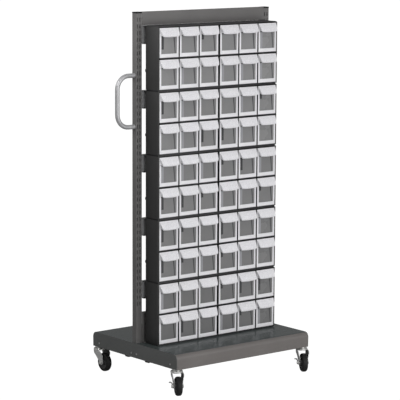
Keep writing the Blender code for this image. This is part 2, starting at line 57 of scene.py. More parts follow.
CORNERS = {"front_left": (-1, -1), "front_right": (1, -1), "rear_left": (-1, 1), "rear_right": (1, 1)}
CABINETS = 5

# Camera, fitted to the photograph: place from the middle of the base's underside
CAMERA_OFFSET = (-4981.5 * MM, -6169.7 * MM, 1809.8 * MM)
CAMERA_AZIMUTH = math.radians(-38.879)
CAMERA_ELEVATION = math.radians(8.670)
CAMERA_ROLL = math.radians(0.249)
CAMERA_LENS = 179.56                # mm
CAMERA_SENSOR = 36.0                # mm across
CAMERA_RANGE = 100.0                # metres that are drawn

# Angles in degrees up to which neighbouring faces shade as one
SMOOTH_ANGLE = 35.0
TUBE_ANGLE = 50.0
PRESSED_ANGLE = 30.0
BOLT_ANGLE = 25.0
FOLD_ANGLE = 12.0                   # folded sheet keeps flat faces up to its bends

# Tip-out bin, in a frame with its origin on the hinge axis and the front towards -Y
BIN_COLUMNS = 6
BIN_PITCH = 99 * MM
MIDDLE_ROOM = 4 * MM                # added to the pitch across the cabinet's divider
BIN_HALF = 46.3 * MM
BIN_FRONT = -5 * MM
BIN_LOW = -0.3 * MM
BIN_TOP = 114 * MM
BIN_REAR = 70 * MM
FRAME_DEPTH = 2.5 * MM
FRAME_ROUND = 0.9 * MM
FACING_DEPTH = 1 * MM               # how deep the label strip and the apron sit in the frame
OPENING_HALF = 38 * MM
OPENING_LOW = 14.3 * MM
OPENING_HIGH = 83.5 * MM
SIDE_TILT = 0.95                    # sideways part of a normal from which a face is a side that takes painted shade

# Label strip below the window, its ridge, the hinge bead and the rod that joins a row
STRIP_HALF = OPENING_HALF - 0.5 * MM
STRIP_LOW = BIN_LOW + 1.2 * MM
STRIP_HIGH = OPENING_LOW - 0.4 * MM
STRIP_PROUD = 0.7 * MM
STRIP_ROUND = 0.6 * MM
RIDGE_HALF = STRIP_HALF - 2 * MM
RIDGE_LOW = 4.81 * MM
RIDGE_TALL = 1.2 * MM
RIDGE_PROUD = 1 * MM
RIDGE_ROUND = 0.25 * MM
BEAD_HALF = BIN_HALF - 0.5 * MM
BEAD_RADIUS = 3 * MM
BEAD_ROUND = 0.4 * MM
BEAD_SIDES = 16
ROD_RADIUS = 2.4 * MM
ROD_SIDES = 12

# Pull hood: a sloping roof with a lip, a cheek at each end and an apron behind it
HOOD_TOP = BIN_TOP - 2 * MM
HOOD_HALF = 45.8 * MM               # at the top
HOOD_TAPER = 6.2 * MM               # narrower at each end of the lip
HOOD_DROP = 27 * MM
HOOD_SAG = 2 * MM                   # how much lower the lip hangs in the middle
HOOD_REACH = 17 * MM
HOOD_BOW = 1 * MM                   # how far the ends of the lip stand back
HOOD_CORNER = 28.0                  # higher for sharper corners
HOOD_END = 0.995                    # share of the half width where the roof ends
HOOD_CROWN = 0.8 * MM
HOOD_WALL = 4 * MM                  # upright, through the slope
HOOD_ROOT = 2 * MM                  # how deep the roof sits in the frame
HOOD_STATIONS = 21
HOOD_STEPS = (0.08, 0.3, 0.55, 0.8, 1.0)    # shares of the way down the slope
HOOD_LIP = 2.5 * MM
LIP_ROUND = ((0.25, 0.8), (0.7, 1.0))       # inwards and down, as shares of the lip
CHEEK_INSET = 0.1 * MM
CHEEK_WALL = 1.5 * MM
APRON_GAP = 0.5 * MM                # above the window
APRON_PROUD = 0.3 * MM
APRON_ROUND = 0.2 * MM

# Tub
TUB_HALF = 43.5 * MM
TUB_WALL = 1.8 * MM
TUB_TAPER = 4 * MM
TUB_FLOOR = -1 * MM
TUB_FRONT_HEIGHT = BIN_TOP - 4 * MM
TUB_BACK_HEIGHT = 86 * MM
TUB_ROUND = 0.7 * MM

# Panes, flat colours for what clear plastic would show: an edge band on the left with painted shade at its
# top and, in some windows, a painted reflection below it, a middle pane and a dark slanted reveal of painted
# shade near the right edge
PANE_GAP = 0.4 * MM
PANE_SEAT = 0.3 * MM                # reach behind the frame
PANE_SUNK = 0.7 * MM
EDGE_SUNK = 0.8 * MM
SHADE_SUNK = 0.9 * MM
EDGE_BAND = 12 * MM
REVEAL_FOOT = 3.2 * MM              # width at its lower end
REVEAL_HEAD = 5.8 * MM              # and at its upper end
REVEAL_FOOT_IN = 9.5 * MM           # left side of its lower end, from the right edge
REVEAL_HEAD_IN = 17 * MM            # and of its upper end
EDGE_SHADES = (0.04, 0.3, 0.75)     # shares of an edge band that lie in shade
SEED = 7

# Order of the finishes on a bin
FRAME_FINISH, PANE_FINISH, REFLECTION_FINISH, SHADE_FINISH, TUB_FINISH, ROOF_FINISH, CHEEK_FINISH = range(7)

# Folded panels and slotted uprights
PANEL_SHEET = 2 * MM
PANEL_BEND = 0.6 * MM
FOLD_STEPS = 5
FOLD_INSIDE = 0.1 * MM              # least inner radius of a bend
SHADED_FLANGE_TILT = 0.7                   # upright part of a normal from which a face is a flange that takes painted shade
UPRIGHT_CORNER = 2.8 * MM
UPRIGHT_WALL = 2 * MM
SLOT_HALF = 2 * MM
SLOT_PLACES = (-9.4 * MM, 3.4 * MM)
SLOT_TALL = 16 * MM
SLOT_PITCH = 26 * MM
SLOTS_FROM = 150 * MM               # first slot above the deck
SLOTS_END = 15 * MM                 # least plain length above the last slot
CAP_SKIRT = 5.5 * MM                # height of an upright's end cap outside the tube
CAP_OVERLAP = 0.1 * MM
CAP_ROUND = 0.9 * MM
PLUG_INSET = 2.4 * MM
PLUG_ROUND = 0.8 * MM

# Base tray, the corner plates that carry the casters, and the crossbars
TRAY_BEND = 19 * MM
TRAY_STEPS = 9
TRAY_GUARD = 1 * MM                 # narrow flat strip kept beside each bend
TRAY_SHEET = 2 * MM
TRAY_JOIN = 0.1 * MM                # reach of the sheet into each end plate
END_ROUND = 1.6 * MM
DECK_TILT = 0.9                     # upright part of a normal from which a face is the deck, which takes painted shade
PLATE_SIZE = 84 * MM
PLATE_INSET = 2.2 * MM
PLATE_LOW = 0.3 * MM
PLATE_HIGH = 3 * MM
PLATE_ROUND = 0.6 * MM
CROSSBAR_SHEET = 2 * MM
CROSSBAR_BEND = 5 * MM

# Cabinets
CABINET_WALL = 3.6 * MM             # top and bottom
CABINET_SIDE = 3.5 * MM             # sides and back
CABINET_SEAM = 2.2 * MM             # the sides end this far from the top and the bottom, so the seams show the boards' painted shade
CABINET_EDGE = 0.5 * MM
CABINET_JOIN = 0.6                  # the back starts at this share of the top and the bottom
SHELF = 2 * MM
SHELF_SETBACK = 3 * MM
SHELF_JOIN = 0.95                   # the shelves start at this share of a side
DIVIDER = 4 * MM
DIVIDER_SETBACK = 11 * MM
SPACER_DEPTH = 5 * MM
SPACER_INSET = 6.5 * MM             # middle of a spacer from the cabinet's side
SPACER_HALF = 6 * MM
SPACER_LOW = 71 * MM
SPACER_HIGH = 81 * MM
SPACER_ROUND = 1 * MM

# Push handle
HANDLE_BEND = 52 * MM
HANDLE_STEPS = 12
HANDLE_SIDES = 28

# Caster head and cup of the fork: mm in from the rim and mm down from the top
HEAD_OUTLINE = ((1.0, 0.0), (0.0, 1.0), (0.0, 2.2), (0.8, 3.0), (3.0, 3.4))
HEAD_SIDES = 40
CUP_OUTLINE = (
    (4.0, 0.0), (1.3, 0.9), (0.0, 3.0), (0.0, 7.5), (0.6, 8.0), (2.3, 8.0), (2.3, 4.0), (5.0, 2.3),
)
CUP_RADIUS = 24.4 * MM
CUP_HEIGHT = 8 * MM
CUP_SIDES = 48

# Legs of the fork
LEG_FOOT = 9 * MM                   # radius of the lower end, round the axle
LEG_FOOT_ANGLE = -85                # start of its arc in degrees, near the lowest point
LEG_FOOT_STEPS = 7
LEG_STEPS = 10
LEG_ROOT = 14 * MM                  # half depth at the cup
LEG_SHOULDER = 11 * MM              # slanted corner at the front, below the cup
LEG_SWEEP = 1.7                     # higher for a rear edge that swings back lower down
LEG_JOIN = 2 * MM                   # reach into the cup
LEG_OUT = 18 * MM                   # outside of a leg from the middle, at the axle
LEG_SPREAD = 5.5 * MM               # how much further out it is at the cup
LEG_SPREAD_FROM = 55 * MM           # height above the floor where the spread starts
LEG_SHEET = 2.5 * MM
LEG_ROUND = 0.6 * MM
INWARD_SHADE_TILT = 0.6                   # inward part of a normal from which a leg's face takes painted shade
BOSS_SIDES = 20

# Axle bolt, wheel and brake lever
AXLE_RADIUS = 4 * MM
AXLE_NEAR = -19.8 * MM              # under the bolt's head, or under a brake lever
AXLE_FAR = 18 * MM
AXLE_SIDES = 20
LEVER_ROOM = 2.3 * MM               # longer shank where there is a lever
BOLT_HEAD = 5 * MM
BOLT_NUT = 3 * MM
BOLT_CORNER = 7 * MM
BOLT_TOP = 0.86 * BOLT_CORNER
BOLT_CHAMFER = 0.25                 # share of the height that the chamfer takes
BOLT_SIDES = 6
WHEEL_RADIUS = 37.5 * MM
WHEEL_HALF = 12.5 * MM
TYRE_ROUND = 9 * MM
TYRE_STEPS = 8
TYRE_SIDES = 64
HUB_SIDES = 48
EYE_BORE = 4.3 * MM
EYE_RADIUS = 8 * MM
EYE_SIDES = 24
LEVER_SHEET = 2 * MM
LEVER_ROUND = 0.4 * MM
LEVER_ANGLE = math.radians(52)

# Turned outlines: mm from the axis and mm along it
BOSS_OUTLINE = ((4.4, 15.6), (7.0, 15.6), (6.4, 14.6), (4.4, 14.6))
HUB_OUTLINE = ((4.4, 14.4), (11.0, 14.4), (13.0, 13.0), (14.0, 9.6), (24.0, 9.2), (26.0, 10.4), (27.4, 10.4))
TYRE_SEAT = ((27.0, 10.0), (27.6, 11.9))
SCREW_OUTLINE = (
    (0.0, 0.9), (1.6, 0.9), (1.6, 1.9), (2.7, 1.9), (3.5, 1.4), (3.8, 0.6), (3.8, -0.3), (0.0, -0.3),
)

# Middle line of the brake lever's arm: mm out from the wheel's middle, mm from the axle and mm half width
LEVER_PATH = (
    (20.8, 6.6, 5.0), (21.2, 9.0, 5.2), (23.5, 11.5, 5.0), (25.0, 15.0, 4.6),
    (26.5, 17.2, 4.5), (29.5, 18.2, 4.4), (35.0, 18.0, 4.0),
)

# Screws on the tray's end plates
SCREW_SIDES = 24
SCREW_HEIGHT = 17 * MM              # above the tray's lower edge
SCREW_END = 42 * MM                 # from the front and the rear
SCREW_PAIR = 16.5 * MM              # from the middle, each way

# Studio: light name, place, target, size in metres, power in watts and spread of the beam in degrees
LIGHTS = (
    ("key", (0.4, -5.0, 1.3), (0.0, 0.0, 0.7), 4.0, 192.0, 180.0),
    ("fill", (-1.5, -0.6, 2.1), (-0.3, 0.0, 1.2), 0.6, 2.6, 90.0),
    ("side", (-1.1, 0.35, 1.8), (-0.3, 0.05, 1.3), 0.5, 0.95, 80.0),
    ("low", (0.8, -2.4, 0.2), (0.0, -0.2, 0.3), 0.8, 0.55, 70.0),
)
SKY_STRENGTH = 0.33
BACKDROP_STRENGTH = 1.05
WHITE_LIGHT = (1.0, 1.0, 1.0, 1.0)
FLOOR_SIZE = 30.0                   # metres
FLOOR_COLOUR = (0.6, 0.6, 0.6, 1.0)
FLOOR_ROUGH = 0.9

# Scale of the relief's grain, and the panes' tone, which falls from the top cabinet down as painted shade
GRAIN_SCALE = 900.0
PANE_TONE = 0.204
PANE_SHADE_FALL = 0.0145


# Materials

def link(tree, source, output, target, socket):
    tree.links.new(source.outputs[output], target.inputs[socket])


def surface(
    name, colour, other, rough, rough_swing=0.08, patch=7.0, depth=0.02, metallic=0.0, specular=0.5
):
    """A finish whose colour and gloss wander a little, with a fine grain, its depth in mm, in its relief."""
    material = bpy.data.materials.new(name)
    material.use_nodes = True
    tree = material.node_tree
    shader = tree.nodes["Principled BSDF"]
    shader.inputs["Metallic"].default_value = metallic
    shader.inputs["Specular IOR Level"].default_value = specular

    place = tree.nodes.new("ShaderNodeTexCoord")
    cloud = tree.nodes.new("ShaderNodeTexNoise")
    cloud.inputs["Scale"].default_value = patch
    cloud.inputs["Detail"].default_value = 5.0
    cloud.inputs["Roughness"].default_value = 0.6
    link(tree, place, "Object", cloud, "Vector")
    tint = tree.nodes.new("ShaderNodeValToRGB")
    tint.color_ramp.elements[0].position = 0.3
    tint.color_ramp.elements[0].color = (*colour, 1.0)
    tint.color_ramp.elements[1].position = 0.7
    tint.color_ramp.elements[1].color = (*other, 1.0)
    link(tree, cloud, "Fac", tint, "Fac")
    link(tree, tint, "Color", shader, "Base Color")

    gloss = tree.nodes.new("ShaderNodeMapRange")
    gloss.inputs["To Min"].default_value = rough - rough_swing
    gloss.inputs["To Max"].default_value = rough + rough_swing
    link(tree, cloud, "Fac", gloss, "Value")
    link(tree, gloss, "Result", shader, "Roughness")

    fine = tree.nodes.new("ShaderNodeTexNoise")
    fine.inputs["Scale"].default_value = GRAIN_SCALE
    fine.inputs["Detail"].default_value = 2.0
    link(tree, place, "Object", fine, "Vector")
    relief = tree.nodes.new("ShaderNodeBump")
    relief.inputs["Strength"].default_value = 0.5
    relief.inputs["Distance"].default_value = depth * MM
    link(tree, fine, "Fac", relief, "Height")
    link(tree, relief, "Normal", shader, "Normal")
    return material


def steel_paint(name, colour, other):
    """Powder coat of the rack and the base."""
    return surface(name, colour, other, 0.46, depth=0.05)


def pane_surface(index):
    """Finish of a cabinet's panes, the cabinets counted from the top: a flat grey for the dim inside seen
    through clear plastic, darker lower down as painted shade.
    """
    tone = PANE_TONE - PANE_SHADE_FALL * index
    colour = (tone, tone, tone * 1.01)
    other = (tone * 1.15, tone * 1.15, tone * 1.16)
    return surface(f"bin_pane_{index + 1}", colour, other, 0.25, depth=0.01)


PAINT = steel_paint("rack_paint", (0.117, 0.113, 0.112), (0.133, 0.129, 0.127))
# Painted light: the hanging rails take a lighter copy of the rack paint, for light that their recess behind
# the cabinets does not get
RAIL_PAINT_LIT = steel_paint("rail_paint_lit", (0.195, 0.197, 0.200), (0.215, 0.217, 0.220))
TRAY_PAINT = steel_paint("tray_paint", (0.126, 0.116, 0.111), (0.145, 0.134, 0.128))
# Painted shade: a darker copy of the tray paint for the end plates, which face sideways
END_PAINT_SHADED = steel_paint("tray_end_paint_shaded", (0.098, 0.102, 0.100), (0.110, 0.114, 0.112))
# Painted shade: a darker teal copy of the tray paint for the upward faces of the same folded sheet
DECK_PAINT_SHADED = surface(
    "deck_paint_shaded", (0.062, 0.073, 0.073), (0.068, 0.079, 0.079), 0.26, 0.02, depth=0.01, specular=0.1
)
BLACK = surface("cabinet_plastic", (0.023, 0.023, 0.023), (0.030, 0.030, 0.030), 0.50, depth=0.04)
# Painted shade: a darker copy of the cabinet black for the boards, shelf and divider, so the gaps between
# rows and the seams read dark
SHADE = surface("cabinet_shade", (0.012, 0.012, 0.013), (0.016, 0.016, 0.017), 0.55, depth=0.03)
# The end caps' own black plastic, which also serves as painted shade on the rails' flanges
CAP_AND_FLANGE_SHADE = surface("cap_plastic_and_flange_shade", (0.005, 0.005, 0.005), (0.008, 0.008, 0.008), 0.60, depth=0.03, specular=0.2)
WHITE = surface("bin_white", (0.700, 0.695, 0.720), (0.740, 0.735, 0.755), 0.36, depth=0.01)
HOOD_WHITE = surface("hood_white", (0.590, 0.585, 0.610), (0.840, 0.835, 0.860), 0.40, patch=260.0)
HOOD_SHADE = surface("hood_shade", (0.600, 0.600, 0.615), (0.660, 0.660, 0.675), 0.45)
PANES = [pane_surface(index) for index in range(CABINETS)]
# Painted reflection: a lighter grey on the edge band of some windows
PANE_REFLECTION = surface("bin_pane_reflection", (0.260, 0.260, 0.275), (0.310, 0.310, 0.330), 0.20, depth=0.01)
# Painted shade: near-black for the shaded top of an edge band and for the slanted reveal
PANE_SHADE = surface("bin_pane_shade", (0.040, 0.040, 0.043), (0.056, 0.056, 0.060), 0.25, depth=0.01)
# Painted shade: the tub, hinge bead, rod and the frame's outer sides are near-black, for the dark inside of
# the cabinet seen through clear plastic and the shade in the gaps between bins
TUB_SHADE = surface("bin_tub_shade", (0.026, 0.026, 0.030), (0.036, 0.036, 0.041), 0.45, depth=0.01)
ZINC = surface("zinc_plate", (0.58, 0.58, 0.58), (0.68, 0.68, 0.67), 0.40, patch=40.0, metallic=0.5)
# Painted shade: a dark zinc for the legs' inward faces, which lie in shade
ZINC_SHADE = surface("zinc_shade", (0.05, 0.05, 0.05), (0.08, 0.08, 0.08), 0.50, patch=40.0)
BRIGHT_ZINC = surface("bright_zinc", (0.66, 0.66, 0.65), (0.76, 0.76, 0.74), 0.32, patch=40.0, metallic=0.8)
STEEL = surface("satin_steel", (0.36, 0.36, 0.37), (0.43, 0.43, 0.44), 0.42, patch=30.0, metallic=0.4)
SCREW = surface("screw_zinc", (0.32, 0.32, 0.32), (0.38, 0.38, 0.38), 0.40, patch=60.0, metallic=0.4)
RUBBER = surface(
    "caster_rubber", (0.007, 0.007, 0.007), (0.012, 0.012, 0.012), 0.60, depth=0.06, specular=0.3
)
HUB = surface("caster_hub", (0.022, 0.022, 0.022), (0.032, 0.032, 0.032), 0.42, depth=0.03)


# Shapes

def add_piece(name, bm, materials, body, replaced=(), place=None, smooth=SMOOTH_ANGLE):
    """Turn a bmesh into a piece that rides on a body of the frame, its turn kept in the mesh."""
    if place is not None:
        bm.transform(place.to_3x3().to_4x4())
        place = Matrix.Translation(place.translation)
    bmesh.ops.recalc_face_normals(bm, faces=bm.faces)
    mesh = bpy.data.meshes.new(name)
    bm.to_mesh(mesh)
    bm.free()
    mesh.shade_smooth()
    mesh.set_sharp_from_angle(angle=math.radians(smooth))
    for material in materials:
        mesh.materials.append(material)
    item = bpy.data.objects.new(name, mesh)
    bpy.context.scene.collection.objects.link(item)
    if place is not None:
        item.matrix_world = place
    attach(item, body)
    if replaced:
        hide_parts(*replaced)


def merge(bm, part, index=0):
    """Add the closed shapes of one finish to a piece."""
    bmesh.ops.recalc_face_normals(part, faces=part.faces)
    for face in part.faces:
        face.material_index = index
    holder = bpy.data.meshes.new("part")
    part.to_mesh(holder)
    part.free()
    bm.from_mesh(holder)
    bpy.data.meshes.remove(holder)


def soften(bm, edges, width, segments=2):
    """Round off edges, a little squarer than an arc."""
    bmesh.ops.bevel(
        bm, geom=edges, offset=width, segments=segments, profile=0.6, affect="EDGES", clamp_overlap=True
    )


def add_box(bm, low, high, round_edges, segments=2):
    low = Vector(low)
    high = Vector(high)
    place = Matrix.Translation((low + high) / 2) @ Matrix.Diagonal((*(high - low), 1.0))
    made = bmesh.ops.create_cube(bm, size=1.0, matrix=place)["verts"]
    edges = list({edge for vertex in made for edge in vertex.link_edges})
    soften(bm, edges, round_edges, segments)


def add_loft(bm, loops, closed_ends=True):
    """Skin a list of point loops of one length."""
    rings = [[bm.verts.new(point) for point in loop] for loop in loops]
    count = len(rings[0])
    for near, far in zip(rings, rings[1:]):
        for index in range(count):
            after = (index + 1) % count
            bm.faces.new((near[index], near[after], far[after], far[index]))
    if closed_ends:
        bm.faces.new(list(reversed(rings[0])))
        bm.faces.new(rings[-1])


def add_prism(bm, outline, start_x, end_x):
    """Closed bar along X with an outline of (y, z) points."""
    add_loft(bm, [[(x, y, z) for y, z in outline] for x in (start_x, end_x)])


def add_lathe(bm, profile, sides, axis="X", centre=(0, 0, 0), closed=False):
    """Spin (radius, along) points round the X or Z axis through a centre."""
    points = []
    for radius, along in profile:
        place = (along, radius, 0.0) if axis == "X" else (radius, 0.0, along)
        points.append(bm.verts.new(Vector(place) + Vector(centre)))
    pairs = list(zip(points, points[1:]))
    if closed:
        pairs.append((points[-1], points[0]))
    edges = [bm.edges.new(pair) for pair in pairs]
    direction = (1, 0, 0) if axis == "X" else (0, 0, 1)
    bmesh.ops.spin(bm, geom=points + edges, cent=centre, axis=direction, angle=math.tau, steps=sides)
    bmesh.ops.remove_doubles(bm, verts=bm.verts, dist=WELD)


def in_mm(outline):
    """A turned outline in metres."""
    return [(radius * MM, along * MM) for radius, along in outline]


def turned(outline, radius, top):
    """Radius and height of an outline given in mm in from a rim and mm down from a top."""
    return [(radius - inward * MM, top - down * MM) for inward, down in outline]


def mirrored(half):
    """The rest of a turned outline whose second half is the mirror image of its first."""
    return [(radius, -along) for radius, along in reversed(half)]


def arc(centre, radius, start, end, steps):
    """Points of an arc, angles in degrees."""
    points = []
    for step in range(steps + 1):
        angle = math.radians(start + (end - start) * step / steps)
        points.append((centre[0] + radius * math.cos(angle), centre[1] + radius * math.sin(angle)))
    return points


def folded_channel(height, depth, sheet, bend):
    """Outline of a folded C-section, its web on y = 0 and its flanges towards +y."""
    hollow = max(bend, sheet + FOLD_INSIDE)
    inner = hollow - sheet
    outline = [(depth, 0.0), (depth, sheet)]
    outline += arc((hollow, hollow), inner, 270, 180, FOLD_STEPS)
    outline += arc((hollow, height - hollow), inner, 180, 90, FOLD_STEPS)
    outline += [(depth, height - sheet), (depth, height)]
    outline += arc((bend, height - bend), bend, 90, 180, FOLD_STEPS)
    outline += arc((bend, bend), bend, 180, 270, FOLD_STEPS)
    return outline


# Bins

def bin_place(column):
    """Sideways place of a bin, counted from the left, from the middle of its row."""
    place = (column - (BIN_COLUMNS - 1) / 2) * BIN_PITCH
    return place + math.copysign(MIDDLE_ROOM / 2, place)


def hood_edge(across):
    """Lip of the hood at a place from -1 to 1 across it: sideways place, reach and fall."""
    curl = (1.0 - abs(across) ** HOOD_CORNER) ** (1.0 / HOOD_CORNER)
    reach = (HOOD_REACH - HOOD_BOW * across * across) * curl
    fall = (HOOD_DROP + HOOD_SAG * (1.0 - across * across)) * curl
    return across * (HOOD_HALF - HOOD_TAPER * curl), reach, fall


def hood_roof(across):
    """Section of the hood's roof, from the front of the bin to the lip and back underneath."""
    side, reach, fall = hood_edge(across)
    root = across * HOOD_HALF
    outside = [(root, BIN_FRONT + HOOD_ROOT, HOOD_TOP)]
    inside = [(root, BIN_FRONT + HOOD_ROOT, HOOD_TOP - HOOD_WALL)]
    for part in HOOD_STEPS:
        crown = HOOD_CROWN * math.sin(math.pi * part)
        x = root + (side - root) * part
        y = BIN_FRONT - reach * part - crown
        z = HOOD_TOP - fall * part + crown
        outside.append((x, y, z))
        inside.append((x, max(y, BIN_FRONT - reach) + HOOD_LIP, z - HOOD_WALL))
    x, y, z = outside[-1]
    edge = [(x, y + inward * HOOD_LIP, z - down * HOOD_LIP) for inward, down in LIP_ROUND]
    return outside + edge + inside[:0:-1] + inside[:1]


def hood_place(step):
    """Places across the hood, closer together towards its ends."""
    return HOOD_END * math.sin(math.pi * (step / (HOOD_STATIONS - 1) - 0.5))


def add_hood(bm, x):
    """Hollow pull hood: a bowed roof with rounded lower corners, a cheek at each end and an apron."""
    loops = []
    for step in range(HOOD_STATIONS):
        loops.append([(x + px, y, z) for px, y, z in hood_roof(hood_place(step))])
    roof = bmesh.new()
    add_loft(roof, loops)
    merge(bm, roof, ROOF_FINISH)

    side, reach, fall = hood_edge(hood_place(0))
    back = BIN_FRONT + HOOD_ROOT
    high = HOOD_TOP - fall
    low = high - HOOD_LIP
    for sign in (-1, 1):
        loops = []
        for inward in (CHEEK_INSET, CHEEK_WALL):
            root = x + sign * (HOOD_HALF * HOOD_END - inward)
            edge = x + sign * (abs(side) - inward)
            tip = BIN_FRONT - reach + inward
            top = (root, back, HOOD_TOP - inward)
            loops.append([top, (edge, tip, high), (edge, tip, low), (edge, back, low)])
        cheek = bmesh.new()
        add_loft(cheek, loops)
        merge(bm, cheek, CHEEK_FINISH)

    apron = bmesh.new()
    start = (x - OPENING_HALF, BIN_FRONT - APRON_PROUD, OPENING_HIGH + APRON_GAP)
    end = (x + OPENING_HALF, BIN_FRONT + FACING_DEPTH, HOOD_TOP - HOOD_WALL)
    add_box(apron, start, end, APRON_ROUND, 1)
    merge(bm, apron, CHEEK_FINISH)


def add_frame(bm, x):
    """White front frame: a ring with rounded edges, the label strip below the window and the hinge bead."""
    ring = bmesh.new()
    loops = []
    for y in (BIN_FRONT, BIN_FRONT + FRAME_DEPTH):
        for half, low, high in ((BIN_HALF, BIN_LOW, BIN_TOP), (OPENING_HALF, OPENING_LOW, OPENING_HIGH)):
            loops.append([(x - half, y, low), (x + half, y, low), (x + half, y, high), (x - half, y, high)])
    add_loft(ring, [loops[0], loops[1], loops[3], loops[2], loops[0]], closed_ends=False)
    bmesh.ops.remove_doubles(ring, verts=ring.verts, dist=WELD)
    front = [face for face in ring.faces if all(abs(v.co.y - BIN_FRONT) < LEVEL for v in face.verts)]
    edges = list({edge for face in front for edge in face.edges if edge.calc_length() > OPENING_HALF})
    soften(ring, edges, FRAME_ROUND)
    merge(bm, ring, FRAME_FINISH)
    # Painted shade: the frame's outer sides take the near-black tub finish, so the gaps between bins read
    # dark
    bm.normal_update()
    for face in bm.faces:
        outer = abs(abs(face.calc_center_median().x - x) - BIN_HALF) < LEVEL
        if outer and abs(face.normal.x) > SIDE_TILT:
            face.material_index = TUB_FINISH

    strip = bmesh.new()
    start = (x - STRIP_HALF, BIN_FRONT - STRIP_PROUD, STRIP_LOW)
    add_box(strip, start, (x + STRIP_HALF, BIN_FRONT + FACING_DEPTH, STRIP_HIGH), STRIP_ROUND)
    start = (x - RIDGE_HALF, BIN_FRONT - RIDGE_PROUD, RIDGE_LOW)
    add_box(strip, start, (x + RIDGE_HALF, BIN_FRONT, RIDGE_LOW + RIDGE_TALL), RIDGE_ROUND, 1)
    merge(bm, strip, FRAME_FINISH)

    end = [(0, -BEAD_HALF), (BEAD_RADIUS - BEAD_ROUND, -BEAD_HALF), (BEAD_RADIUS, BEAD_ROUND - BEAD_HALF)]
    bead = bmesh.new()
    add_lathe(bead, end + mirrored(end), BEAD_SIDES, "X", (x, 0, 0))
    # The hinge bead takes the near-black of painted shade
    merge(bm, bead, TUB_FINISH)


def add_tub(bm, x):
    """Tapered tub behind the frame, open at the top, its rim sloping down to the back; its near-black is
    painted shade.
    """
    front = BIN_FRONT + FRAME_DEPTH
    rear = BIN_REAR - TUB_TAPER
    half = TUB_HALF - TUB_TAPER / 2
    outer = []
    rim = []
    lip = []
    inner = []
    for side, back in ((-1, False), (1, False), (1, True), (-1, True)):
        foot = rear if back else front
        edge = BIN_REAR if back else front
        inward = -TUB_WALL if back else TUB_WALL
        height = TUB_BACK_HEIGHT if back else TUB_FRONT_HEIGHT
        outer.append((x + side * half, foot, TUB_FLOOR))
        rim.append((x + side * TUB_HALF, edge, height))
        lip.append((x + side * (TUB_HALF - TUB_WALL), edge + inward, height))
        inner.append((x + side * (half - TUB_WALL), foot + inward, TUB_FLOOR + TUB_WALL))
    tub = bmesh.new()
    add_loft(tub, [outer, rim, lip, inner])
    soften(tub, list(tub.edges), TUB_ROUND)
    merge(bm, tub, TUB_FINISH)


def add_pane(bm, x, corners, index, sunk):
    """A thin pane with its face sunk a little below the front of the frame."""
    pane = bmesh.new()
    levels = (BIN_FRONT + FRAME_DEPTH + PANE_SEAT, BIN_FRONT + sunk)
    add_loft(pane, [[(x + px, y, pz) for px, pz in corners] for y in levels])
    merge(bm, pane, index)


def add_window(bm, x, edge_index, shade):
    """Panes in the window: an edge band, with painted shade from the top for a part, and a slanted dark
    reveal of painted shade.
    """
    low = OPENING_LOW + PANE_GAP
    high = OPENING_HIGH - PANE_GAP
    right = OPENING_HALF - PANE_GAP
    left = -right
    band = left + EDGE_BAND
    foot = right - REVEAL_FOOT_IN
    head = right - REVEAL_HEAD_IN
    foot_end = foot + REVEAL_FOOT
    head_end = head + REVEAL_HEAD
    split = high - shade * (high - low)
    shaded_edge = [(left, split), (band, split), (band, high), (left, high)]
    open_edge = [(left, low), (band, low), (band, split), (left, split)]
    middle = [(band, low), (foot, low), (head, high), (band, high)]
    reveal = [(foot, low), (foot_end, low), (head_end, high), (head, high)]
    rest = [(foot_end, low), (right, low), (right, high), (head_end, high)]
    add_pane(bm, x, shaded_edge, SHADE_FINISH, SHADE_SUNK)
    add_pane(bm, x, open_edge, edge_index, EDGE_SUNK)
    add_pane(bm, x, middle, PANE_FINISH, PANE_SUNK)
    add_pane(bm, x, reveal, SHADE_FINISH, SHADE_SUNK)
    add_pane(bm, x, rest, PANE_FINISH, EDGE_SUNK)


def fill_bin(bm, x, chance):
    """One bin; what its window shows is drawn by chance."""
    add_frame(bm, x)
    add_hood(bm, x)
    add_tub(bm, x)
    # By chance some edge bands take a painted reflection instead of the plain pane
    edge_index = chance.choice((PANE_FINISH, PANE_FINISH, REFLECTION_FINISH))
    shade = chance.choice(EDGE_SHADES) if edge_index == PANE_FINISH else EDGE_SHADES[0]
    add_window(bm, x, edge_index, shade)


def build_bins():
    """Single bins and joined rows, each on its hinge; rows are counted from the top, two to a cabinet."""
    chance = random.Random(SEED)
    for name, joint in JOINTS.items():
        if not name.startswith("bin_"):
            continue
        node = joint["child"]
        cabinet = (int(node.split("_")[1]) - 1) // 2
        finishes = [WHITE, PANES[cabinet], PANE_REFLECTION, PANE_SHADE, TUB_SHADE, HOOD_WHITE, HOOD_SHADE]
        is_row = node.endswith("_row")
        columns = [bin_place(column) for column in range(BIN_COLUMNS)] if is_row else [0.0]
        bm = bmesh.new()
        for x in columns:
            fill_bin(bm, x, chance)
        if is_row:
            reach = columns[-1]
            rod = bmesh.new()
            add_lathe(rod, [(0, -reach), (ROD_RADIUS, -reach), (ROD_RADIUS, reach), (0, reach)], ROD_SIDES)
            # The rod takes the near-black of painted shade
            merge(bm, rod, TUB_FINISH)
        place = Matrix.Translation(joint["pos_m"])
        add_piece(node + "_tip_out", bm, finishes, node, (node,), place)


# Rack

